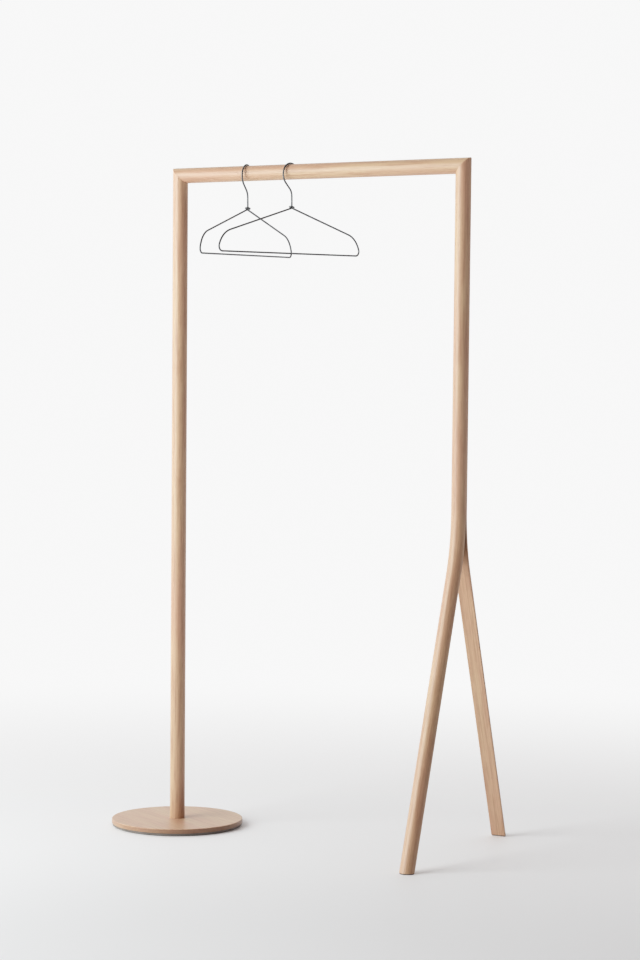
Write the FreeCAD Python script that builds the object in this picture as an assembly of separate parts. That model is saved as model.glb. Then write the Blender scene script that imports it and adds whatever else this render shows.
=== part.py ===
"""Standing coat rack of round wooden stock: a left post on a weighted disc base, a mitred top rail, and a
right post made of two half-rounds that part low down into a front leg and a rear leg. Two bent-wire
hangers ride on the rail.

Millimetres. +X runs along the rail from the disc base to the split legs, +Y to the back, +Z up. The origin
is on the floor, at the middle of the rack's footprint. Each sub-part is written to parts/NODE.step.
"""

import FreeCAD
import Part

import math
import os

from FreeCAD import Rotation, Vector

# ---------------------------------------------------------------- driving dimensions
OVERALL_HEIGHT = 1500.0
ROD_DIAMETER = 34.0
POST_SPACING = 700.0  # between the two posts' axes

BASE_DIAMETER = 300.0
BASE_WOOD_THICKNESS = 10.0
BASE_PLATE_THICKNESS = 5.0
BASE_FELT_THICKNESS = 1.0

SPLIT_HEIGHT = 673.0  # where the two legs' straight flats would meet
SPLAY_ANGLE = math.radians(19.7)  # of each leg from the vertical
BEND_RADIUS = 400.0  # of each half's flat face
LEG_PAD_THICKNESS = 1.5

WIRE_DIAMETER = 3.5
HOOK_RADIUS = 25.0  # to the wire's centreline
HANGER_WIDTH = 470.0  # over the wire

# ---------------------------------------------------------------- fits and small features
GLUE_GAP = 0.05  # per side, round pins and dowels
HOOK_GAP = 0.3  # between the rail's top and a hook

PIN_DIAMETER = 10.0  # steel pins inside the mitred corners
PIN_LEG = 55.0  # from the corner's centre to each end of a pin
PIN_END_GAP = 2.0

LEG_DOWEL_DIAMETER = 8.0
LEG_DOWEL_LENGTH = 19.0
LEG_DOWEL_HEIGHTS = (800.0, 1060.0, 1320.0)
LEG_DOWEL_END_GAP = 0.5

POST_SOCKET_DEPTH = 4.0
INSERT_DIAMETER = 12.0
INSERT_LENGTH = 25.0
POST_BORE_END_GAP = 3.0
BOLT_DIAMETER = 8.0
BOLT_LENGTH = 38.0
BOLT_HEAD_DIAMETER = 16.0
BOLT_SOCKET_ACROSS_FLATS = 5.0
BOLT_SOCKET_DEPTH = 2.6
BOLT_HOLE_DIAMETER = 9.0  # through the wooden disc
BOLT_PLATE_CLEARANCE = 0.6  # on the diameter

SCREW_DIAMETER = 4.0
SCREW_LENGTH = 12.5
SCREW_TIP_DIAMETER = 0.6
SCREW_TIP_LENGTH = 2.0
SCREW_PILOT_END_GAP = 0.5
SCREW_PLATE_CLEARANCE = 0.4  # on the diameter
SCREW_HEAD_DIAMETER = 8.0
SCREW_SOCKET_DIAMETER = 2.4
SCREW_SOCKET_DEPTH = 1.4
SCREW_CIRCLE_RADIUS = 110.0
SCREW_COUNT = 4

PLATE_INSET = 2.0  # the steel plate's rim inside the wooden disc's
FELT_INSET = 6.0
FELT_HOLE_DIAMETER = 44.0
DISC_EDGE_RADIUS = 1.6
PLATE_EDGE_CHAMFER = 0.6
LEG_EDGE_RADIUS = 1.2  # on the long edges of a leg's flat face
PAD_INSET = 0.8

# ---------------------------------------------------------------- places worked out from them
ROD_RADIUS = ROD_DIAMETER / 2
WIRE_RADIUS = WIRE_DIAMETER / 2
FOOTPRINT_LENGTH = BASE_DIAMETER / 2 + POST_SPACING + ROD_RADIUS
LEFT_X = BASE_DIAMETER / 2 - FOOTPRINT_LENGTH / 2
RIGHT_X = LEFT_X + POST_SPACING
RAIL_Z = OVERALL_HEIGHT - ROD_RADIUS
PLATE_BOTTOM = BASE_FELT_THICKNESS
PLATE_TOP = PLATE_BOTTOM + BASE_PLATE_THICKNESS
BASE_TOP = PLATE_TOP + BASE_WOOD_THICKNESS
POST_BOTTOM = BASE_TOP - POST_SOCKET_DEPTH
BEND_START = SPLIT_HEIGHT + BEND_RADIUS * math.tan(SPLAY_ANGLE / 2)

# ---------------------------------------------------------------- hanger: where each one hangs
# distance from the rail's middle, turn of its plane from the rail's direction, tilt in its own plane, and
# the drop from the hook's seat to the bottom bar, which differs a little between two hand-bent hangers
HANGERS = {
    "left_hanger": {"along_rail": -177.8, "turn": 93.2, "tilt": 1.7, "drop": 198.6},
    "right_hanger": {"along_rail": -67.2, "turn": 76.5, "tilt": 1.2, "drop": 196.4},
}
HOOK_TIP_ANGLE = 15.0  # round the hook's centre, from the level
HOOK_LEAVE_ANGLE = 226.5
NECK_OFFSET = 2.7
NECK_BEND_RADIUS = 21.0
APEX_DROP = 96.5  # from the hook's seat to where the neck and the first shoulder meet
APEX_BEND_RADIUS = 4.5
SHOULDER_POINT = (223.0, 156.5)  # out from the middle, down from the seat
SHOULDER_BEND_RADIUS = 52.0
CORNER_OUT = 4.5  # the bottom corner's point, outside the widest part of the centreline
CORNER_RADIUS = 10.5
EYE_DROP = 94.5  # from the hook's seat to the eye's centre, on the neck
EYE_RADIUS = 4.75  # to the wire's centreline
EYE_SWEEP = math.radians(265.0)

X_AXIS, Y_AXIS, Z_AXIS = Vector(1, 0, 0), Vector(0, 1, 0), Vector(0, 0, 1)


def rod(start, direction, length, diameter):
    """A plain cylinder from start along direction."""
    return Part.makeCylinder(diameter / 2, length, start, direction)


def mitre_keeper(corner_x, towards_rail, keep_post):
    """A wedge that holds everything on one side of the 45 degree plane through a top corner.

    towards_rail is +1 where the rail runs to +X from the corner, and -1 where it runs to -X."""
    reach = 3 * OVERALL_HEIGHT
    side = BASE_DIAMETER
    along = Vector(-towards_rail, 0, 1).normalize()
    away = Vector(-towards_rail, 0, -1).normalize()
    if not keep_post:
        away = away.negative()
    corner = Vector(corner_x, -side, RAIL_Z)
    outline = [
        corner + along * reach,
        corner - along * reach,
        corner - along * reach + away * reach,
        corner + along * reach + away * reach,
    ]
    face = Part.Face(Part.makePolygon(outline + outline[:1]))
    return face.extrude(Y_AXIS * 2 * side)


def corner_bore(corner_x, direction):
    """The blind hole for one leg of a corner pin, from past the corner's centre into the stock."""
    start = Vector(corner_x, 0, RAIL_Z) - direction * ROD_DIAMETER
    depth = ROD_DIAMETER + PIN_LEG + PIN_END_GAP
    return rod(start, direction, depth, PIN_DIAMETER + 2 * GLUE_GAP)


def corner_pin(corner_x, towards_rail):
    """A steel pin bent square, with one leg in the post and one in the rail."""
    centre = Vector(corner_x, 0, RAIL_Z)
    down = rod(centre, Z_AXIS.negative(), PIN_LEG, PIN_DIAMETER)
    across = rod(centre, X_AXIS * towards_rail, PIN_LEG, PIN_DIAMETER)
    elbow = Part.makeSphere(PIN_DIAMETER / 2, centre)
    return down.fuse([across, elbow]).removeSplitter()


def countersink_cone(head_diameter, shank_diameter, bottom, x, y=0.0):
    """The 90 degree cone of a countersunk head whose flat face is at height bottom."""
    depth = (head_diameter - shank_diameter) / 2
    place = Vector(x, y, bottom)
    return Part.makeCone(head_diameter / 2, shank_diameter / 2, depth, place, Z_AXIS)


def screw_places():
    """The centres of the screws that hold the steel plate to the wooden disc."""
    for i in range(SCREW_COUNT):
        angle = math.radians(45 + 360 * i / SCREW_COUNT)
        yield (
            LEFT_X + SCREW_CIRCLE_RADIUS * math.cos(angle),
            SCREW_CIRCLE_RADIUS * math.sin(angle),
        )


# ---------------------------------------------------------------- disc base
def base_felt():
    centre = Vector(LEFT_X, 0, 0)
    outside = rod(centre, Z_AXIS, BASE_FELT_THICKNESS, BASE_DIAMETER - 2 * FELT_INSET)
    return outside.cut(rod(centre, Z_AXIS, BASE_FELT_THICKNESS, FELT_HOLE_DIAMETER))


def plate_hole(shank_diameter, head_diameter, clearance, x, y=0.0):
    """A countersunk hole through the steel plate, open by clearance on the diameter."""
    through = rod(Vector(x, y, PLATE_BOTTOM), Z_AXIS, BASE_PLATE_THICKNESS, shank_diameter + clearance)
    sink = countersink_cone(head_diameter + clearance, shank_diameter + clearance, PLATE_BOTTOM, x, y)
    return through.fuse(sink)


def base_plate():
    centre = Vector(LEFT_X, 0, PLATE_BOTTOM)
    plate = rod(centre, Z_AXIS, BASE_PLATE_THICKNESS, BASE_DIAMETER - 2 * PLATE_INSET)
    plate = plate.makeChamfer(PLATE_EDGE_CHAMFER, rim_edges(plate))
    holes = [plate_hole(BOLT_DIAMETER, BOLT_HEAD_DIAMETER, BOLT_PLATE_CLEARANCE, LEFT_X)]
    for x, y in screw_places():
        holes.append(plate_hole(SCREW_DIAMETER, SCREW_HEAD_DIAMETER, SCREW_PLATE_CLEARANCE, x, y))
    return plate.cut(holes)


def rim_edges(disc, only_top=False):
    """The circular edges of a plain disc; its straight seam is left out."""
    edges = [e for e in disc.Edges if isinstance(e.Curve, Part.Circle)]
    if only_top:
        highest = max(e.BoundBox.ZMax for e in edges)
        edges = [e for e in edges if e.BoundBox.ZMax > highest - 0.01]
    return edges


def base_disc():
    centre = Vector(LEFT_X, 0, PLATE_TOP)
    disc = rod(centre, Z_AXIS, BASE_WOOD_THICKNESS, BASE_DIAMETER)
    disc = disc.makeFillet(DISC_EDGE_RADIUS, rim_edges(disc, only_top=True))
    socket_at = Vector(LEFT_X, 0, POST_BOTTOM)
    cuts = [
        rod(centre, Z_AXIS, BASE_WOOD_THICKNESS, BOLT_HOLE_DIAMETER),
        rod(socket_at, Z_AXIS, POST_SOCKET_DEPTH, ROD_DIAMETER + 2 * GLUE_GAP),
    ]
    pilot_depth = PLATE_BOTTOM + SCREW_LENGTH - PLATE_TOP + SCREW_PILOT_END_GAP
    for x, y in screw_places():
        cuts.append(rod(Vector(x, y, PLATE_TOP), Z_AXIS, pilot_depth, SCREW_DIAMETER + 2 * GLUE_GAP))
    return disc.cut(cuts)


def base_bolt():
    shank = rod(Vector(LEFT_X, 0, PLATE_BOTTOM), Z_AXIS, BOLT_LENGTH, BOLT_DIAMETER)
    head = countersink_cone(BOLT_HEAD_DIAMETER, BOLT_DIAMETER, PLATE_BOTTOM, LEFT_X)
    corner_radius = BOLT_SOCKET_ACROSS_FLATS / math.sqrt(3)
    hexagon = [
        Vector(
            LEFT_X + corner_radius * math.cos(math.radians(60 * i)),
            corner_radius * math.sin(math.radians(60 * i)),
            PLATE_BOTTOM,
        )
        for i in range(7)
    ]
    socket = Part.Face(Part.makePolygon(hexagon)).extrude(Z_AXIS * BOLT_SOCKET_DEPTH)
    return shank.fuse(head).cut(socket).removeSplitter()


def plate_screws():
    screws = []
    for x, y in screw_places():
        foot = Vector(x, y, PLATE_BOTTOM)
        shank_length = SCREW_LENGTH - SCREW_TIP_LENGTH
        shank = rod(foot, Z_AXIS, shank_length, SCREW_DIAMETER)
        tip_at = foot + Z_AXIS * shank_length
        tip = Part.makeCone(SCREW_DIAMETER / 2, SCREW_TIP_DIAMETER / 2, SCREW_TIP_LENGTH, tip_at, Z_AXIS)
        head = countersink_cone(SCREW_HEAD_DIAMETER, SCREW_DIAMETER, PLATE_BOTTOM, x, y)
        drive = rod(foot, Z_AXIS, SCREW_SOCKET_DEPTH, SCREW_SOCKET_DIAMETER)
        screws.append(shank.fuse([head, tip]).cut(drive).removeSplitter())
    return Part.makeCompound(screws)


# ---------------------------------------------------------------- left post and rail
def left_post():
    post = rod(Vector(LEFT_X, 0, POST_BOTTOM), Z_AXIS, OVERALL_HEIGHT + ROD_DIAMETER, ROD_DIAMETER)
    post = post.common(mitre_keeper(LEFT_X, +1, keep_post=True))
    bolt_reach = PLATE_BOTTOM + BOLT_LENGTH - POST_BOTTOM
    insert_bore = rod(
        Vector(LEFT_X, 0, POST_BOTTOM),
        Z_AXIS,
        max(INSERT_LENGTH, bolt_reach) + POST_BORE_END_GAP,
        INSERT_DIAMETER + 2 * GLUE_GAP,
    )
    return post.cut([insert_bore, corner_bore(LEFT_X, Z_AXIS.negative())])


def post_insert():
    foot = Vector(LEFT_X, 0, POST_BOTTOM)
    sleeve = rod(foot, Z_AXIS, INSERT_LENGTH, INSERT_DIAMETER)
    return sleeve.cut(rod(foot, Z_AXIS, INSERT_LENGTH, BOLT_DIAMETER + 2 * GLUE_GAP))


def top_rail():
    start = Vector(LEFT_X - ROD_DIAMETER, 0, RAIL_Z)
    rail = rod(start, X_AXIS, POST_SPACING + 2 * ROD_DIAMETER, ROD_DIAMETER)
    rail = rail.common(mitre_keeper(LEFT_X, +1, keep_post=False))
    rail = rail.common(mitre_keeper(RIGHT_X, -1, keep_post=False))
    bores = [corner_bore(LEFT_X, X_AXIS), corner_bore(RIGHT_X, X_AXIS.negative())]
    return rail.cut(bores)


# ---------------------------------------------------------------- split right post
def sharp_half_round(inset=0.0):
    """A half-round face in the XY plane at the origin: flat towards +Y, round towards -Y."""
    radius = ROD_RADIUS - inset
    arc = Part.Arc(Vector(-radius, -inset, 0), Vector(0, -radius, 0), Vector(radius, -inset, 0))
    flat = Part.LineSegment(Vector(radius, -inset, 0), Vector(-radius, -inset, 0))
    return Part.Face(Part.Wire([arc.toShape(), flat.toShape()]))


def eased_half_round():
    """The same face with its two corners rounded by small arcs that touch the flat and the large arc."""
    easing = LEG_EDGE_RADIUS
    centre_x = math.sqrt((ROD_RADIUS - easing) ** 2 - easing**2)
    lean = math.atan2(easing, centre_x)
    middle = (math.pi / 2 - lean) / 2
    round_end = Vector(ROD_RADIUS * math.cos(lean), -ROD_RADIUS * math.sin(lean), 0)
    easing_middle = Vector(centre_x + easing * math.cos(middle), easing * (math.sin(middle) - 1), 0)
    flat_end = Vector(centre_x, 0, 0)

    def other_side(point):
        return Vector(-point.x, point.y, 0)

    curves = [
        Part.Arc(other_side(round_end), Vector(0, -ROD_RADIUS, 0), round_end),
        Part.Arc(round_end, easing_middle, flat_end),
        Part.LineSegment(flat_end, other_side(flat_end)),
        Part.Arc(other_side(flat_end), other_side(easing_middle), other_side(round_end)),
    ]
    return Part.Face(Part.Wire([curve.toShape() for curve in curves]))


def bent_half(section):
    """The bend and the straight leg of the front half, at X = 0, run on to below the floor."""
    section.translate(Vector(0, 0, BEND_START))
    bend_centre = Vector(0, -BEND_RADIUS, BEND_START)
    bend = section.revolve(bend_centre, X_AXIS.negative(), math.degrees(SPLAY_ANGLE))
    lower = section.copy()
    lower.rotate(bend_centre, X_AXIS.negative(), math.degrees(SPLAY_ANGLE))
    direction = Vector(0, -math.sin(SPLAY_ANGLE), -math.cos(SPLAY_ANGLE))
    return bend, lower.extrude(direction * OVERALL_HEIGHT)


def slab(bottom, top):
    """Everything between two heights, wide enough for a leg."""
    size = 2 * OVERALL_HEIGHT
    return Part.makeBox(size, size, top - bottom, Vector(-size / 2, -size / 2, bottom))


def front_leg():
    upper = sharp_half_round()
    upper.translate(Vector(0, 0, BEND_START))
    straight = upper.extrude(Z_AXIS * (OVERALL_HEIGHT + ROD_DIAMETER - BEND_START))
    bend, leg = bent_half(eased_half_round())
    leg = leg.common(slab(LEG_PAD_THICKNESS, OVERALL_HEIGHT))
    half = straight.fuse([bend, leg]).removeSplitter()
    half.translate(X_AXIS * RIGHT_X)
    half = half.common(mitre_keeper(RIGHT_X, -1, keep_post=True))
    cuts = [corner_bore(RIGHT_X, Z_AXIS.negative())]
    cuts += [dowel(height, GLUE_GAP, LEG_DOWEL_END_GAP) for height in LEG_DOWEL_HEIGHTS]
    return half.cut(cuts)


def dowel(height, radial_gap=0.0, end_gap=0.0):
    """One cross dowel that keeps the two halves of the right post in line, or the hole for it."""
    length = LEG_DOWEL_LENGTH + 2 * end_gap
    start = Vector(RIGHT_X, -length / 2, height)
    return rod(start, Y_AXIS, length, LEG_DOWEL_DIAMETER + 2 * radial_gap)


def leg_dowels():
    return Part.makeCompound([dowel(height) for height in LEG_DOWEL_HEIGHTS])


def front_leg_pad():
    _, leg = bent_half(sharp_half_round(PAD_INSET))
    pad = leg.common(slab(0.0, LEG_PAD_THICKNESS))
    pad.translate(X_AXIS * RIGHT_X)
    return pad


def to_the_back(shape):
    """The same piece on the other side of the rack's middle plane."""
    return shape.mirror(Vector(0, 0, 0), Y_AXIS)


# ---------------------------------------------------------------- wire hangers
def rounded_run(points, radii):
    """Edges of a polyline whose inner corners are rounded by tangent arcs of the given radii."""
    edges = []
    start = points[0]
    for before, corner, after, radius in zip(points, points[1:], points[2:], radii):
        back, on = (before - corner).normalize(), (after - corner).normalize()
        half = back.getAngle(on) / 2
        reach = radius / math.tan(half)
        enter, leave = corner + back * reach, corner + on * reach
        inward = (back + on).normalize()
        middle = corner + inward * (radius / math.sin(half) - radius)
        edges.append(Part.LineSegment(start, enter).toShape())
        edges.append(Part.Arc(enter, middle, leave).toShape())
        start = leave
    edges.append(Part.LineSegment(start, points[-1]).toShape())
    return edges


def hook_point(degrees):
    """A point on the hook's arc. The hook's seat, on top of the rail, is the hanger's own origin."""
    angle = math.radians(degrees)
    centre_z = WIRE_RADIUS - HOOK_RADIUS
    return Vector(HOOK_RADIUS * math.cos(angle), 0, centre_z + HOOK_RADIUS * math.sin(angle))


def eye_edges(shoulder_point):
    """The eye at the second shoulder's end: where that shoulder runs straight into it, past the neck's side,
    and the eye itself, open round the neck."""
    centre = Vector(NECK_OFFSET, 0, -EYE_DROP)
    outward = shoulder_point - centre
    start_angle = math.acos(EYE_RADIUS / outward.Length)
    outward.normalize()

    def on_eye(angle):
        return centre + outward * (EYE_RADIUS * math.cos(angle)) + Y_AXIS * (EYE_RADIUS * math.sin(angle))

    first, middle, last = (on_eye(start_angle + EYE_SWEEP * share) for share in (0.0, 0.5, 1.0))
    return first, Part.Arc(first, middle, last).toShape()


def hanger_path(drop):
    """The wire's centreline from the hook's tip to the end of the eye, in the hanger's own XZ plane but for
    the second shoulder, which leans to pass beside the neck."""
    leave = hook_point(HOOK_LEAVE_ANGLE)
    over_the_top = hook_point((HOOK_TIP_ANGLE + HOOK_LEAVE_ANGLE) / 2)
    hook = Part.Arc(hook_point(HOOK_TIP_ANGLE), over_the_top, leave).toShape()
    heading = math.radians(HOOK_LEAVE_ANGLE + 90)
    neck_top = leave + Vector(math.cos(heading), 0, math.sin(heading)) * (
        (NECK_OFFSET - leave.x) / math.cos(heading)
    )
    out, down = SHOULDER_POINT
    corner_x = HANGER_WIDTH / 2 - WIRE_RADIUS + CORNER_OUT
    eye_start, eye = eye_edges(Vector(out, 0, -down))
    points = [
        leave,
        neck_top,
        Vector(NECK_OFFSET, 0, -APEX_DROP),
        Vector(-out, 0, -down),
        Vector(-corner_x, 0, -drop),
        Vector(corner_x, 0, -drop),
        Vector(out, 0, -down),
        eye_start,
    ]
    radii = [
        NECK_BEND_RADIUS,
        APEX_BEND_RADIUS,
        SHOULDER_BEND_RADIUS,
        CORNER_RADIUS,
        CORNER_RADIUS,
        SHOULDER_BEND_RADIUS,
    ]
    return Part.Wire([hook] + rounded_run(points, radii) + [eye])


def hanger(along_rail, turn, tilt, drop):
    """One hanger: a single bent wire whose second shoulder ends in an eye round the neck."""
    path = hanger_path(drop)
    tip = path.Edges[0].valueAt(path.Edges[0].FirstParameter)
    heading = path.Edges[0].tangentAt(path.Edges[0].FirstParameter)
    circle = Part.Circle(tip, heading, WIRE_RADIUS).toShape()
    wire = path.makePipeShell([Part.Wire(circle)], True, False)
    drawn = math.pi * WIRE_RADIUS**2 * path.Length
    print(f"hanger wire {path.Length:.0f} mm long, solid over drawn volume {wire.Volume / drawn:.4f}")
    seat = Vector((LEFT_X + RIGHT_X) / 2 + along_rail, 0, OVERALL_HEIGHT + HOOK_GAP)
    turned = Rotation(Z_AXIS, turn).multiply(Rotation(Y_AXIS, -tilt))
    hook_centre = Vector(0, 0, WIRE_RADIUS - HOOK_RADIUS)
    wire.Placement = FreeCAD.Placement(seat, turned, hook_centre)
    return wire


# ---------------------------------------------------------------- all of it
def build():
    front = front_leg()
    front_pad = front_leg_pad()
    parts = {
        "base_felt": base_felt(),
        "base_plate": base_plate(),
        "base_disc": base_disc(),
        "plate_screws": plate_screws(),
        "base_bolt": base_bolt(),
        "post_insert": post_insert(),
        "left_post": left_post(),
        "left_corner_pin": corner_pin(LEFT_X, +1),
        "top_rail": top_rail(),
        "right_corner_pin": corner_pin(RIGHT_X, -1),
        "front_leg": front,
        "rear_leg": to_the_back(front),
        "leg_dowels": leg_dowels(),
        "front_leg_pad": front_pad,
        "rear_leg_pad": to_the_back(front_pad),
    }
    for name, place in HANGERS.items():
        parts[name] = hanger(**place)
    return parts


def main():
    os.makedirs("parts", exist_ok=True)
    for name, shape in build().items():
        solids = shape.Solids
        sound = all(s.isValid() and s.isClosed() and s.Volume > 0 for s in solids)
        print(f"{name}: {len(solids)} solid(s), sound {sound}, {shape.Volume / 1000:.1f} cubic centimetres")
        shape.exportStep(os.path.join("parts", name + ".step"))


main()
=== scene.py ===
"""Looks for the standing coat rack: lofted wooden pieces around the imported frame, materials, light, camera.

Metres, in the row frame: +X along the rail, +Y to the back, +Z up, origin on the floor."""

import math
from collections import namedtuple

import bpy
from mathutils import Matrix, Vector

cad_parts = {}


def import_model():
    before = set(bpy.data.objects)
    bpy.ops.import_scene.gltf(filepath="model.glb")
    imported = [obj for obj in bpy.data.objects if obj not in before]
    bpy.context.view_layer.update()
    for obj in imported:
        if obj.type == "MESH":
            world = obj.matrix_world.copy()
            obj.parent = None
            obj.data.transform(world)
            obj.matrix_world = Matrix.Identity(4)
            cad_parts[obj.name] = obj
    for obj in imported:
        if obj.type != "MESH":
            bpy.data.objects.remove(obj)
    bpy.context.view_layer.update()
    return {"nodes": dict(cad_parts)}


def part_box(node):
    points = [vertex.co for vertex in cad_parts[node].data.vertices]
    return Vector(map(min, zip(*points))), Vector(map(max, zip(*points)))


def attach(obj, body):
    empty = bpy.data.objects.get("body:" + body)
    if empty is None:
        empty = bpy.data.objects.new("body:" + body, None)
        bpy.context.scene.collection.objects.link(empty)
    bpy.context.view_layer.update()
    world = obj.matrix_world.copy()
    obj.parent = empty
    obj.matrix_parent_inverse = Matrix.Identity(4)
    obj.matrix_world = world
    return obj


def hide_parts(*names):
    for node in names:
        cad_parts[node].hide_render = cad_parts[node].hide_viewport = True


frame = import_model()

MM = 0.001

# ---------------------------------------------------------------- sizes, from the frame
POST_LOW, POST_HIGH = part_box("left_post")
RAIL_LOW, RAIL_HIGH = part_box("top_rail")
LEG_LOW, LEG_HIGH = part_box("front_leg")
DISC_LOW, DISC_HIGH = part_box("base_disc")
BOLT_LOW, BOLT_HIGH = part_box("base_bolt")

ROD_RADIUS = (RAIL_HIGH.z - RAIL_LOW.z) / 2
RAIL_Z = RAIL_HIGH.z - ROD_RADIUS
LEFT_X = (POST_LOW.x + POST_HIGH.x) / 2
RIGHT_X = (LEG_LOW.x + LEG_HIGH.x) / 2
DISC_RADIUS = LEFT_X - DISC_LOW.x

# ---------------------------------------------------------------- sizes the boxes don't give
SPLAY = math.radians(19.7)  # each leg's lean
BEND_RADIUS = 0.400  # of a leg's flat face
BEND_RUN = BEND_RADIUS * SPLAY
SPLIT_HEIGHT = 0.673  # where the legs' straight flats would meet
BEND_START = SPLIT_HEIGHT + BEND_RADIUS * math.tan(SPLAY / 2)
SEAM_EASE = 0.25 * MM  # edges broken at a glued seam
WORN_REACH = 3 * SEAM_EASE  # along the stock from a mitred or square end
LEG_EDGE_EASE = 1.2 * MM
LEG_EASE_RUN = 0.050  # from the start of the bend to where the flats' edges have their full easing
GAP_CLEAR_RUN = 0.120  # from the start of the bend to where the painted shade in the gap between the legs has faded out
GAP_FADE_RUN = 0.050
FOOT_EASE = 0.5 * MM
SECTION_MIDDLE = -0.42 * ROD_RADIUS  # depth of a half-round's middle, towards which an eased end shrinks
DISC_TOP_EASE = 1.6 * MM
DISC_BOTTOM_EASE = 0.5 * MM
SOCKET_GAP = 0.05 * MM
BOLT_HOLE_RADIUS = (BOLT_HIGH.y - BOLT_LOW.y) / 4 + 0.5 * MM

ROUND_STEPS = 72  # segments round a full rod
RING_STEP = 0.024  # between rings along the stock
DISC_STEPS = 192
SHARP_ANGLE = math.radians(38)  # faces that meet at more than this keep a hard edge

# ---------------------------------------------------------------- where each piece lies in its own stock
POST_GRAIN = Vector((0.055, 0.020, 0.3))
RAIL_GRAIN = Vector((0.048, -0.034, 2.1))
FRONT_LEG_GRAIN = Vector((0.062, -0.020, 12.2))
REAR_LEG_GRAIN = Vector((-0.050, 0.041, 9.4))
DISC_GRAIN = (0.021, 0.012, 5.0)
DISC_FIBRE_TURN = math.radians(-30)
RIM_PAINTED_SHADE = 0.4  # painted shade all round the disc's rim; the only darkening where the rim runs along the fibres

# place is in the row frame. grain is the place in the piece's own board or rod, with the fibres along the
# third number. worn is 1 on broken edges. The fourth value darkens the wood: on the disc's rim it is darker
# end grain where fibres are cut across, plus painted shade all round the rim. In the narrow gap between the
# legs it is painted shade only.
Point = namedtuple("Point", ("place", "grain", "worn", "dark"), defaults=(0.0, 0.0))


# ---------------------------------------------------------------- mesh building
def make_piece(name, points, faces, cad_node):
    """A closed wooden mesh of Points that stands for a CAD node."""
    mesh = bpy.data.meshes.new(name)
    mesh.from_pydata([point.place for point in points], [], faces)
    grain = mesh.attributes.new("grain", "FLOAT_VECTOR", "POINT")
    grain.data.foreach_set("vector", [number for point in points for number in point.grain])
    for quality in ("worn", "dark"):
        values = [getattr(point, quality) for point in points]
        mesh.attributes.new(quality, "FLOAT", "POINT").data.foreach_set("value", values)
    mesh.polygons.foreach_set("use_smooth", [True] * len(mesh.polygons))
    mesh.set_sharp_from_angle(angle=SHARP_ANGLE)
    mesh.validate()
    piece = bpy.data.objects.new(name, mesh)
    bpy.context.scene.collection.objects.link(piece)
    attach(piece, "rack")
    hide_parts(cad_node)
    return piece


def ring_centre(ring):
    """The Point in the middle of a ring."""
    place = sum((point.place for point in ring), Vector()) / len(ring)
    grain = sum((point.grain for point in ring), Vector()) / len(ring)
    return Point(place, grain)


def loft(name, rings, cad_node):
    """Quads between closed rings of equal length, with a centre-fan cap on each end."""
    count = len(rings[0])
    points = [point for ring in rings for point in ring]
    faces = []
    for row in range(len(rings) - 1):
        low, high = row * count, (row + 1) * count
        for i in range(count):
            j = (i + 1) % count
            faces.append((low + i, low + j, high + j, high + i))
    for row, flip in ((0, True), (len(rings) - 1, False)):
        hub = len(points)
        points.append(ring_centre(rings[row]))
        for i in range(count):
            pair = (row * count + i, row * count + (i + 1) % count)
            faces.append((hub, *reversed(pair)) if flip else (hub, *pair))
    return make_piece(name, points, faces, cad_node)


def steps(start, end, size):
    """Evenly spaced values from start to end, no more than size apart."""
    count = max(1, math.ceil(abs(end - start) / size))
    return [start + (end - start) * i / count for i in range(count + 1)]


# ---------------------------------------------------------------- the left post and the rail
def rod_piece(name, cad_node, to_rack, grain_shift, low_end, high_end):
    """A round rod along its own third axis. to_rack turns (across, across, along) into the row frame. An end
    is (along, slant): the length at the axis, and how much further the rod reaches per metre towards +first
    axis, 0 for a square end. Both ends have a broken edge."""
    low, low_slant = low_end
    high, high_slant = high_end
    reach_low = low + ROD_RADIUS * abs(low_slant) + RING_STEP
    reach_high = high - ROD_RADIUS * abs(high_slant) - RING_STEP
    # each row is (along, slant, inset, worn)
    rows = [(low, low_slant, SEAM_EASE, 1.0)]
    rows += [(low + SEAM_EASE, low_slant, 0.0, 1.0), (low + WORN_REACH, low_slant, 0.0, 0.0)]
    rows += [(along, 0.0, 0.0, 0.0) for along in steps(reach_low, reach_high, RING_STEP)]
    rows += [(high - WORN_REACH, high_slant, 0.0, 0.0), (high - SEAM_EASE, high_slant, 0.0, 1.0)]
    rows += [(high, high_slant, SEAM_EASE, 1.0)]
    rings = []
    for along, slant, inset, worn in rows:
        radius = ROD_RADIUS - inset
        ring = []
        for i in range(ROUND_STEPS):
            angle = 2 * math.pi * i / ROUND_STEPS
            first, second = radius * math.cos(angle), radius * math.sin(angle)
            place = Vector((first, second, along + slant * first))
            ring.append(Point(to_rack(place), place + grain_shift, worn))
        rings.append(ring)
    return loft(name, rings, cad_node)


def left_post():
    """From the socket in the disc up to the mitre, which falls towards the rail."""
    return rod_piece(
        "left_post_wood",
        "left_post",
        lambda p: Vector((LEFT_X + p.x, p.y, p.z)),
        POST_GRAIN,
        (POST_LOW.z, 0.0),
        (RAIL_Z, -1.0),
    )


def top_rail():
    """Its first axis points up, so that each mitre is longer on top."""
    return rod_piece(
        "top_rail_wood",
        "top_rail",
        lambda p: Vector((p.z, -p.y, RAIL_Z + p.x)),
        RAIL_GRAIN,
        (LEFT_X, -1.0),
        (RIGHT_X, 1.0),
    )


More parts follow.
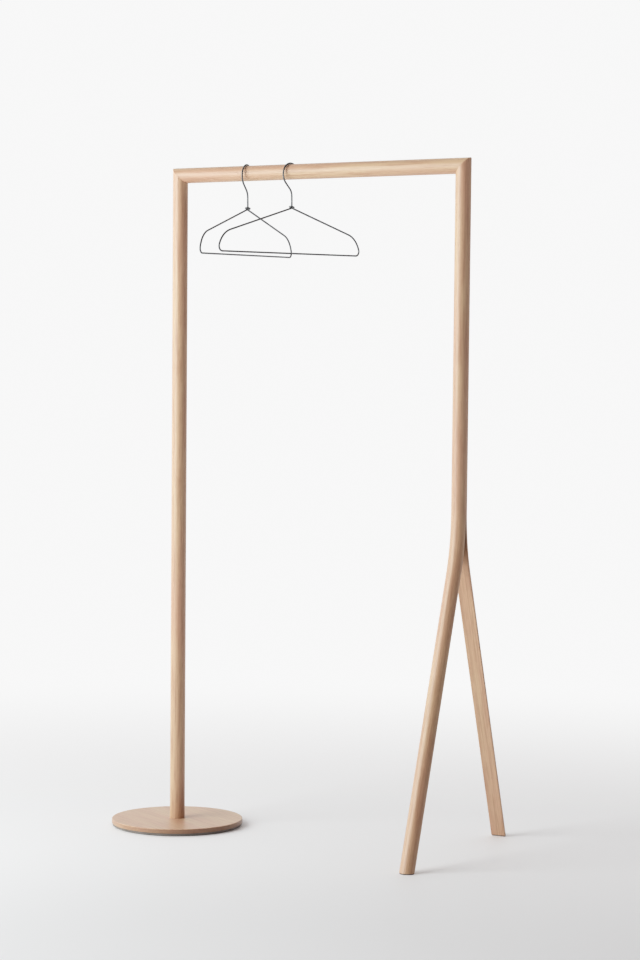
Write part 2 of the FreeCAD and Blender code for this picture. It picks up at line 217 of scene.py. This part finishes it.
# ---------------------------------------------------------------- the split right post
def half_round(ease):
    """The front half's section as (x, depth, eased) points, with depth 0 on the flat and negative towards the
    round side. eased is 1 on an eased edge. It runs round from the flat's -X corner."""
    centre = math.sqrt((ROD_RADIUS - ease) ** 2 - ease**2)
    lean = math.atan2(ease, centre)
    corner_steps, arc_steps, flat_steps = 4, 38, 10
    points = []
    for i in range(corner_steps + 1):
        angle = math.pi / 2 + (math.pi / 2 + lean) * i / corner_steps
        points.append((-centre + ease * math.cos(angle), -ease + ease * math.sin(angle), 1.0))
    for i in range(1, arc_steps):
        angle = math.pi + lean + (math.pi - 2 * lean) * i / arc_steps
        points.append((ROD_RADIUS * math.cos(angle), ROD_RADIUS * math.sin(angle), 0.0))
    for i in range(corner_steps + 1):
        angle = -lean + (math.pi / 2 + lean) * i / corner_steps
        points.append((centre + ease * math.cos(angle), -ease + ease * math.sin(angle), 1.0))
    for i in range(1, flat_steps):
        share = math.cos(math.pi * i / flat_steps)  # closer together near the corners
        points.append((centre * share, 0.0, 0.0))
    return points


def leg_frame(run):
    """The flat's middle, the outward depth direction and the leg's direction, at a run down from the start of
    the bend."""
    turn = min(max(run / BEND_RADIUS, 0.0), SPLAY)
    straight = run - turn * BEND_RADIUS
    depth = Vector((0, math.cos(turn), -math.sin(turn)))
    along = Vector((0, -math.sin(turn), -math.cos(turn)))
    flat = Vector((0, -BEND_RADIUS * (1 - math.cos(turn)), BEND_START - BEND_RADIUS * math.sin(turn)))
    return flat + along * straight, depth, along


# down the flat from the start of the bend to the leg's end
FOOT_RUN = BEND_RUN + (leg_frame(BEND_RUN)[0].z - LEG_LOW.z) / math.cos(SPLAY)


def painted_gap_shade(run, deep):
    """Painted shade on a leg's flat, where the gap between the legs is narrow; deepest at the gap's top."""
    opened = (GAP_CLEAR_RUN - run) / GAP_FADE_RUN
    return min(max(opened, 0.0), 1.0) if deep > -SEAM_EASE else 0.0


def leg_rows():
    """The front leg's rings from the mitre down to the foot, as (kind, value, inset, worn). value is the run
    from the start of the bend, or for a foot ring the height above the leg's end."""
    top_run = BEND_START - RAIL_Z
    last_level_run = FOOT_RUN - ROD_RADIUS * math.tan(SPLAY) - RING_STEP
    above = steps(top_run + ROD_RADIUS + RING_STEP, 0.0, RING_STEP)
    bend = steps(0.0, BEND_RUN, RING_STEP / 4)[1:]  # closer together
    below = steps(BEND_RUN, last_level_run, RING_STEP)[1:]
    rows = [("mitre", top_run, SEAM_EASE / ROD_RADIUS, 1.0)]
    rows += [("mitre", top_run + SEAM_EASE, 0.0, 1.0), ("mitre", top_run + WORN_REACH, 0.0, 0.0)]
    rows += [("level", run, 0.0, 0.0) for run in above + bend + below]
    rows += [("foot", 2 * FOOT_EASE, 0.0, 0.0), ("foot", FOOT_EASE, 0.0, 1.0)]
    rows += [("foot", 0.0, FOOT_EASE / ROD_RADIUS, 1.0)]
    return rows


def leg_ring(kind, value, inset, worn):
    """One ring of the front leg, from a row of leg_rows. inset is the share by which the section shrinks."""
    run = FOOT_RUN if kind == "foot" else value
    share = min(max(run / LEG_EASE_RUN, 0.0), 1.0)
    flat, depth, along = leg_frame(run)
    ring = []
    for x, deep, eased in half_round(SEAM_EASE + (LEG_EDGE_EASE - SEAM_EASE) * share):
        # painted shade in the narrow gap between the legs
        dark = painted_gap_shade(run, deep)
        x, deep = x * (1 - inset), SECTION_MIDDLE + (deep - SECTION_MIDDLE) * (1 - inset)
        point = flat + Vector((x, 0, 0)) + depth * deep
        slide = 0.0
        if kind == "mitre":
            slide = -x  # higher towards +X
        if kind == "foot":
            slide = (point.z - LEG_LOW.z - value) / math.cos(SPLAY)
        point = point + along * slide
        place = Vector((RIGHT_X + point.x, point.y, point.z))
        ring.append(Point(place, Vector((x, deep, run + slide)), max(worn, eased), dark))
    return ring


def mirrored(point):
    """The same Point on the other leg."""
    x, y, z = point.place
    return point._replace(place=Vector((x, -y, z)))


def leg(name, cad_node, to_back, grain_shift):
    """The front leg, or its mirror image at the back."""
    rings = [leg_ring(*row) for row in reversed(leg_rows())]
    if to_back:
        rings = [[mirrored(point) for point in reversed(ring)] for ring in rings]
    rings = [[point._replace(grain=point.grain + grain_shift) for point in ring] for ring in rings]
    return loft(name, rings, cad_node)


# ---------------------------------------------------------------- the disc
def arc_profile(centre_r, centre_z, radius, start, end, count, worn):
    """Points (r, z, worn) on an arc between two angles, in degrees."""
    points = []
    for i in range(count + 1):
        angle = math.radians(start + (end - start) * i / count)
        points.append((centre_r + radius * math.cos(angle), centre_z + radius * math.sin(angle), worn))
    return points


def disc_profile():
    """The disc's section as (r, z, worn), from the bolt hole out along the bottom, round the rim and back to
    the socket."""
    low, high = DISC_LOW.z, DISC_HIGH.z
    socket, socket_room = ROD_RADIUS + SOCKET_GAP, 1 * MM
    bottom_room, top_room = 2 * DISC_BOTTOM_EASE, 1.3 * DISC_TOP_EASE  # from a corner to the first flat point
    bottom_step, rim_step, top_step = 0.030, 0.003, 0.012
    bottom_arc = (DISC_RADIUS - DISC_BOTTOM_EASE, low + DISC_BOTTOM_EASE, DISC_BOTTOM_EASE, -90, 0)
    top_arc = (DISC_RADIUS - DISC_TOP_EASE, high - DISC_TOP_EASE, DISC_TOP_EASE, 0, 90)
    profile = [(r, low, 0.0) for r in steps(BOLT_HOLE_RADIUS, DISC_RADIUS - bottom_room, bottom_step)]
    profile += arc_profile(*bottom_arc, count=3, worn=1.0)
    profile += [(DISC_RADIUS, z, 0.0) for z in steps(low + bottom_room, high - top_room, rim_step)]
    profile += arc_profile(*top_arc, count=7, worn=0.0)
    profile += [(r, high, 0.0) for r in steps(DISC_RADIUS - top_room, socket + socket_room, top_step)]
    profile += [(socket + SEAM_EASE, high, 1.0), (socket, high - SEAM_EASE, 1.0), (socket, POST_LOW.z, 0.0)]
    profile += [(BOLT_HOLE_RADIUS, POST_LOW.z, 0.0)]
    return profile


def rim_shade_and_end_grain(r, turned):
    """Darkening only on the rim: painted shade all round, and more where end grain cuts across the fibres."""
    on_rim = r > DISC_RADIUS - 0.1 * MM
    return RIM_PAINTED_SHADE + (1 - RIM_PAINTED_SHADE) * abs(math.cos(turned)) if on_rim else 0.0


def base_disc():
    """A lathe of the section about the post's axis, with the fibres turned away from the rail's direction."""
    profile = disc_profile()
    thick_shift, across_shift, along_shift = DISC_GRAIN
    points, faces = [], []
    for i in range(DISC_STEPS):
        angle = 2 * math.pi * i / DISC_STEPS
        turned = angle - DISC_FIBRE_TURN
        for r, z, worn in profile:
            place = Vector((LEFT_X + r * math.cos(angle), r * math.sin(angle), z))
            across, along = r * math.sin(turned) + across_shift, r * math.cos(turned) + along_shift
            # the rim's painted shade, with darker end grain where the fibres are cut across
            points.append(Point(place, Vector((z + thick_shift, across, along)), worn, rim_shade_and_end_grain(r, turned)))
    count = len(profile)
    for i in range(DISC_STEPS):
        this, other = i * count, (i + 1) % DISC_STEPS * count
        for k in range(count):
            m = (k + 1) % count
            faces.append((this + k, other + k, other + m, this + m))
    return make_piece("base_disc_wood", points, faces, "base_disc")


# ---------------------------------------------------------------- materials
class Nodes:
    """A small helper for building one node tree."""

    def __init__(self, owner):
        owner.use_nodes = True
        self.nodes = owner.node_tree.nodes
        self.links = owner.node_tree.links

    def node(self, kind, inputs=(), **settings):
        """A new node. inputs maps a socket's name or number to a value or to another node's output."""
        node = self.nodes.new("ShaderNode" + kind)
        for key, value in settings.items():
            setattr(node, key, value)
        for key, value in dict(inputs).items():
            self.set(node.inputs[key], value)
        return node

    def set(self, socket, value):
        """Links an output to the socket, or sets a plain value on it."""
        if isinstance(value, bpy.types.NodeSocket):
            self.links.new(value, socket)
        else:
            socket.default_value = value

    def calc(self, operation, *values):
        """Plain arithmetic on numbers."""
        return self.node("Math", dict(enumerate(values)), operation=operation).outputs[0]

    def vector(self, operation, first, second, output="Vector"):
        """Arithmetic on two vectors."""
        return self.node("VectorMath", {0: first, 1: second}, operation=operation).outputs[output]

    def scaled(self, vector, scale):
        """vector with each part multiplied by its own number."""
        return self.vector("MULTIPLY", vector, scale)

    def noise(self, vector, scale, detail, roughness, output="Fac"):
        """Noise with its own scale, in features per metre, along each axis."""
        inputs = {"Vector": self.scaled(vector, scale), "Scale": 1.0}
        inputs.update({"Detail": detail, "Roughness": roughness})
        return self.node("TexNoise", inputs).outputs[output]

    def spread(self, value, low, high, to_low=0.0, to_high=1.0, curve="LINEAR"):
        """value's range low to high, stretched to to_low to to_high and held there."""
        inputs = {0: value, 1: low, 2: high, 3: to_low, 4: to_high}
        return self.node("MapRange", inputs, clamp=True, interpolation_type=curve).outputs[0]

    def blend(self, share, first, second):
        """A colour from first, at share 0, to second, at share 1."""
        return self.node("Mix", {0: share, 6: first, 7: second}, data_type="RGBA").outputs[2]

    def bump(self, height, strength, distance):
        """The surface's direction with small relief. distance is its depth in metres."""
        return self.node("Bump", {"Height": height, "Strength": strength, "Distance": distance}).outputs[0]


class Shader(Nodes):
    """The nodes of one new material."""

    def __init__(self, name):
        self.material = bpy.data.materials.new(name)
        super().__init__(self.material)
        self.surface = self.nodes["Principled BSDF"]

    def finish(self, **sockets):
        """Sets some of the surface's sockets, named with _ for a space, and gives the material."""
        for name, value in sockets.items():
            self.set(self.surface.inputs[name.replace("_", " ")], value)
        return self.material


RING_WIDTH = 0.0031  # one year's growth
SWAY = (0.012, 0.012, 0.0)  # how far the year rings wander across the grain


def year_rings(s, place):
    """Late and early wood, each from 0 to 1, in rings about a far pith that wander slowly along the stock."""
    sway = s.noise(place, (9, 9, 1.4), 2.0, 0.5, output="Color")
    swayed = s.vector("ADD", s.scaled(sway, SWAY), place)
    parts = s.node("SeparateXYZ", {0: swayed}).outputs
    squares = s.calc("ADD", s.calc("POWER", parts[0], 2.0), s.calc("POWER", parts[1], 2.0))
    phase = s.calc("FRACT", s.calc("DIVIDE", s.calc("SQRT", squares), RING_WIDTH))
    late = s.spread(phase, 0.55, 0.97)
    fade = s.spread(phase, 0.97, 1.0, 1.0, 0.0)
    late_wood = s.calc("MULTIPLY", s.calc("POWER", late, 1.6), fade)
    early_wood = s.spread(phase, 0.0, 0.35, 1.0, 0.0)
    return late_wood, early_wood


def ash_wood():
    """Pale ash under satin lacquer: year rings, long fibres, open pores, darker streaks, slow colour drift,
    darker end grain on the disc's rim, and painted shade round that rim and in the gap between the legs."""
    s = Shader("ash_wood_lacquered")
    place = s.node("Attribute", attribute_name="grain").outputs["Vector"]
    worn = s.node("Attribute", attribute_name="worn").outputs["Fac"]
    # darker end grain and painted shade, carried on the mesh
    dark = s.node("Attribute", attribute_name="dark").outputs["Fac"]
    late_wood, early_wood = year_rings(s, place)
    # all stretched along the grain
    fibres = s.noise(place, (900, 900, 9), 4.0, 0.6)
    streaks = s.noise(place, (190, 190, 9.0), 3.0, 0.6)
    pore_noise = s.noise(place, (2600, 2600, 70), 1.0, 0.5)
    drift = s.noise(place, (30, 30, 3.2), 3.0, 0.5)
    figure = s.noise(place, (115, 115, 19), 2.0, 0.5)
    porous = s.calc("ADD", s.calc("MULTIPLY", early_wood, 0.8), 0.2)
    pores = s.calc("MULTIPLY", s.spread(pore_noise, 0.62, 0.72), porous)
    straw, pink = (0.580, 0.396, 0.250, 1), (0.530, 0.308, 0.208, 1)
    tint = s.blend(s.spread(drift, 0.36, 0.64), straw, pink)
    layers = (
        (s.calc("MULTIPLY", late_wood, 0.36), (0.370, 0.196, 0.112, 1)),
        (s.spread(streaks, 0.48, 0.66, 0.0, 0.62), (0.365, 0.186, 0.118, 1)),
        (s.spread(figure, 0.57, 0.66, 0.0, 0.26), (0.400, 0.215, 0.130, 1)),
        (s.spread(fibres, 0.35, 0.75, 0.0, 0.22), (0.660, 0.455, 0.310, 1)),
        (s.calc("MULTIPLY", pores, 0.65), (0.215, 0.110, 0.062, 1)),
        (s.calc("MULTIPLY", worn, 0.20), (0.330, 0.180, 0.105, 1)),
        # painted shade round the disc's rim and in the gap between the legs, with darker end grain on the rim
        (s.calc("MULTIPLY", dark, 0.74), (0.215, 0.100, 0.056, 1)),
    )
    for share, colour in layers:
        tint = s.blend(share, tint, colour)
    roughness = s.calc("ADD", s.spread(fibres, 0.3, 0.7, 0.46, 0.58), s.calc("MULTIPLY", pores, 0.12))
    raised = s.calc("SUBTRACT", s.calc("MULTIPLY", fibres, 0.35), pores)
    s.finish(Coat_Weight=0.65, Coat_Roughness=0.36)
    return s.finish(Base_Color=tint, Roughness=roughness, Normal=s.bump(raised, 0.30, 0.00006))


def satin_wire():
    """Satin grey steel wire: fine blotches, a fine tumbled grain and a few brighter rubs."""
    s = Shader("hanger_wire_satin")
    place = s.node("TexCoord").outputs["Object"]
    blotch = s.noise(place, (140, 140, 140), 3.0, 0.6)
    fine = s.noise(place, (2400, 2400, 2400), 2.0, 0.6)
    rub = s.spread(s.noise(place, (60, 60, 60), 2.0, 0.5), 0.58, 0.72)
    deep, steel, rubbed = (0.130, 0.136, 0.143, 1), (0.186, 0.193, 0.200, 1), (0.312, 0.322, 0.332, 1)
    tint = s.blend(s.spread(blotch, 0.3, 0.7), deep, steel)
    tint = s.blend(s.calc("MULTIPLY", rub, 0.45), tint, rubbed)
    roughness = s.spread(fine, 0.3, 0.7, 0.38, 0.52)
    return s.finish(Base_Color=tint, Metallic=0.9, Roughness=roughness, Normal=s.bump(fine, 0.25, 0.00004))


def powder_coat():
    """Matt dark grey powder coat with its fine orange peel."""
    s = Shader("plate_powder_coat")
    place = s.node("TexCoord").outputs["Object"]
    peel = s.noise(place, (1400, 1400, 1400), 2.0, 0.5)
    cloud = s.noise(place, (35, 35, 35), 2.0, 0.5)
    deep, pale = (0.196, 0.178, 0.163, 1), (0.246, 0.224, 0.206, 1)
    tint = s.blend(s.spread(cloud, 0.3, 0.7), deep, pale)
    roughness = s.spread(peel, 0.3, 0.7, 0.55, 0.70)
    return s.finish(Base_Color=tint, Roughness=roughness, Normal=s.bump(peel, 0.35, 0.00008))


def zinc_plate():
    """Zinc-plated steel: pale, slightly mottled, with faint turning marks."""
    s = Shader("zinc_plated_steel")
    place = s.node("TexCoord").outputs["Object"]
    mottle = s.noise(place, (420, 420, 420), 3.0, 0.6)
    marks = s.noise(place, (60, 60, 5200), 1.0, 0.5)
    bluish, yellowish = (0.560, 0.565, 0.560, 1), (0.660, 0.650, 0.610, 1)
    tint = s.blend(s.spread(mottle, 0.3, 0.7), bluish, yellowish)
    roughness = s.spread(mottle, 0.3, 0.7, 0.28, 0.42)
    return s.finish(Base_Color=tint, Metallic=1.0, Roughness=roughness, Normal=s.bump(marks, 0.15, 0.00003))


def pressed_felt():
    """Dark grey pressed felt: matted short fibres and a soft sheen."""
    s = Shader("pressed_felt")
    place = s.node("TexCoord").outputs["Object"]
    tangle = s.noise(place, (500, 500, 500), 3.0, 0.5, output="Color")
    tangle_reach = (0.002, 0.002, 0.002)
    matted = s.vector("ADD", s.scaled(tangle, tangle_reach), place)
    hairs = s.noise(matted, (3200, 900, 900), 3.0, 0.7)
    deep, pale = (0.030, 0.030, 0.031, 1), (0.085, 0.084, 0.083, 1)
    tint = s.blend(s.spread(hairs, 0.3, 0.7), deep, pale)
    return s.finish(Base_Color=tint, Roughness=0.95, Sheen_Weight=0.35, Normal=s.bump(hairs, 0.6, 0.0002))


def paint_nodes(material, *nodes):
    """Gives CAD nodes a material in place of the plain one they were packed with."""
    for node in nodes:
        for material_slot in frame["nodes"][node].material_slots:
            material_slot.material = material


# ---------------------------------------------------------------- floor, light and camera
FLOOR_RADIUS = 40.0
FLOOR_STEPS = 96
FLOOR_SHADE_CENTRE = (0.8, -1.7, 0.0)  # painted shade on the floor is deepest here and fades away from it
# the floor's colour in its painted shade, and its pale colour away from it
FLOOR_PAINTED_SHADE, FLOOR_PALE = (0.745, 0.755, 0.785, 1), (0.882, 0.895, 0.930, 1)
FLOOR_PALE_FROM, FLOOR_PALE_TO = 0.9, 1.9  # distances over which the floor's painted shade fades out
FLOOR_MELT_FROM, FLOOR_MELT_TO = 1.6, 4.7  # distances between which it melts into the backdrop
BACKDROP = 1.40  # brightness behind the rack, before the film curve
TOWARDS_BRIGHT = (-0.66, 0.60, 0.45)  # the room's bright side
ROOM_DIM, ROOM_BRIGHT = 0.05, 1.18
DIM_FROM, BRIGHT_FROM = -0.45, 0.9  # how far a direction points to the bright side, where each is reached
WARM, NEUTRAL = (1.0, 0.60, 0.45, 1), (0.99, 1.0, 0.99, 1)
LAMP_COLOUR = (0.95, 1.0, 0.975)
LAMP_TARGET = Vector((0.05, 0.0, 0.75))


def floor():
    """A pale floor with painted shade in front of the rack on its right, that melts into the backdrop further
    off.
    """
    angles = [2 * math.pi * i / FLOOR_STEPS for i in range(FLOOR_STEPS)]
    points = [(FLOOR_RADIUS * math.cos(angle), FLOOR_RADIUS * math.sin(angle), 0.0) for angle in angles]
    mesh = bpy.data.meshes.new("studio_floor")
    mesh.from_pydata(points, [], [tuple(range(FLOOR_STEPS))])
    piece = bpy.data.objects.new("studio_floor", mesh)
    bpy.context.scene.collection.objects.link(piece)
    s = Shader("studio_floor_with_painted_shade")
    place = s.node("TexCoord").outputs["Object"]
    grit = s.noise(place, (300, 300, 300), 2.0, 0.5)
    away = s.vector("DISTANCE", place, FLOOR_SHADE_CENTRE, output="Value")
    # painted shade: the floor is greyer in front of the rack on its right and paler further off
    shade_faded = s.spread(away, FLOOR_PALE_FROM, FLOOR_PALE_TO, curve="SMOOTHSTEP")
    tint = s.blend(shade_faded, FLOOR_PAINTED_SHADE, FLOOR_PALE)
    s.finish(Base_Color=tint, Roughness=s.spread(grit, 0.3, 0.7, 0.55, 0.65), Specular_IOR_Level=0.2)
    melt = s.spread(away, FLOOR_MELT_FROM, FLOOR_MELT_TO, curve="SMOOTHSTEP")
    glow = s.node("Emission", {"Color": (1, 1, 1, 1), "Strength": BACKDROP}).outputs[0]
    mixed = s.node("MixShader", {0: melt, 1: s.surface.outputs[0], 2: glow}).outputs[0]
    s.set(s.nodes["Material Output"].inputs["Surface"], mixed)
    mesh.materials.append(s.material)


def world():
    """An even white backdrop. The room that lights the rack is bright behind it, on the left and above, and
    dim and warm in front and to the right."""
    made = bpy.data.worlds.new("studio")
    s = Nodes(made)
    seen = s.nodes["Background"]
    s.set(seen.inputs["Color"], (1.0, 1.0, 1.0, 1))
    s.set(seen.inputs["Strength"], BACKDROP)
    place = s.node("TexCoord").outputs["Generated"]
    facing = s.vector("DOT_PRODUCT", place, TOWARDS_BRIGHT, output="Value")
    level = s.spread(facing, DIM_FROM, BRIGHT_FROM, ROOM_DIM, ROOM_BRIGHT)
    lit = s.node("Background", {"Color": s.blend(level, WARM, NEUTRAL), "Strength": level}).outputs[0]
    by_camera = s.node("LightPath").outputs["Is Camera Ray"]
    mixed = s.node("MixShader", {0: by_camera, 1: lit, 2: seen.outputs[0]}).outputs[0]
    s.set(s.nodes["World Output"].inputs["Surface"], mixed)
    bpy.context.scene.world = made


def area_light(name, place, size, power):
    """A rectangular lamp that faces the rack's middle."""
    data = bpy.data.lights.new(name, "AREA")
    data.shape = "RECTANGLE"
    data.size, data.size_y = size
    data.energy = power
    data.color = LAMP_COLOUR
    lamp = bpy.data.objects.new(name, data)
    bpy.context.scene.collection.objects.link(lamp)
    lamp.location = place
    lamp.rotation_mode = "QUATERNION"
    lamp.rotation_quaternion = (LAMP_TARGET - Vector(place)).to_track_quat("-Z", "Y")
    lamp.visible_camera = False


def lights():
    """One big soft key from the front left, and a white wall that carries on from it along the left."""
    area_light("key", place=(-1.80, -2.60, 1.75), size=(2.4, 2.6), power=150)
    area_light("left_wall", place=(-3.20, -0.10, 1.50), size=(3.0, 2.8), power=30)


def film_curve():
    """A soft shoulder and a slight toe, as a camera gives, so that highlights lose colour gently."""
    settings = bpy.context.scene.view_settings
    settings.view_transform = "Standard"
    settings.use_curve_mapping = True
    mapping = settings.curve_mapping
    brightest, ceiling, toe = 2.4, 1.2, 1.2
    shares = (0.02, 0.05, 0.09, 0.14, 0.20, 0.27, 0.35, 0.44, 0.54, 0.65, 0.72)  # of the brightest
    all_channels = 3
    mapping.white_level = (brightest, brightest, brightest)
    curve = mapping.curves[all_channels]
    for share in shares:
        curve.points.new(share, ceiling * (1 - math.exp(-((share * brightest) ** toe))))
    mapping.update()


CAMERA_PLACE = Vector((2.52626, -4.73597, 1.01724))
CAMERA_YAW, CAMERA_PITCH, CAMERA_ROLL = math.radians(27.313), math.radians(3.904), math.radians(0.525)


def camera():
    """A long lens from the right of the front, a little above the middle, shifted for upright posts. Yaw
    turns it left from straight ahead, and pitch turns it down."""
    data = bpy.data.cameras.new("camera")
    data.sensor_width = 36.0
    data.lens = 90.31
    data.shift_y = 0.0706
    data.clip_start, data.clip_end = 0.1, 200.0
    eye = bpy.data.objects.new("camera", data)
    bpy.context.scene.collection.objects.link(eye)
    level = Vector((-math.sin(CAMERA_YAW), math.cos(CAMERA_YAW), 0))
    across = Vector((math.cos(CAMERA_YAW), math.sin(CAMERA_YAW), 0))
    ahead = level * math.cos(CAMERA_PITCH) - Vector((0, 0, 1)) * math.sin(CAMERA_PITCH)
    above = level * math.sin(CAMERA_PITCH) + Vector((0, 0, 1)) * math.cos(CAMERA_PITCH)
    right = across * math.cos(CAMERA_ROLL) + above * math.sin(CAMERA_ROLL)
    up = above * math.cos(CAMERA_ROLL) - across * math.sin(CAMERA_ROLL)
    turn = Matrix((right, up, -ahead)).transposed().to_4x4()
    eye.matrix_world = Matrix.Translation(CAMERA_PLACE) @ turn
    bpy.context.scene.camera = eye


# ---------------------------------------------------------------- all of it
wood = ash_wood()
for wooden in (
    left_post(),
    top_rail(),
    leg("front_leg_wood", "front_leg", False, FRONT_LEG_GRAIN),
    leg("rear_leg_wood", "rear_leg", True, REAR_LEG_GRAIN),
    base_disc(),
):
    wooden.data.materials.append(wood)
paint_nodes(wood, "leg_dowels")
paint_nodes(satin_wire(), "left_hanger", "right_hanger")
paint_nodes(powder_coat(), "base_plate")
paint_nodes(zinc_plate(), "plate_screws", "base_bolt", "post_insert", "left_corner_pin", "right_corner_pin")
paint_nodes(pressed_felt(), "base_felt", "front_leg_pad", "rear_leg_pad")

floor()
world()
lights()
camera()
film_curve()
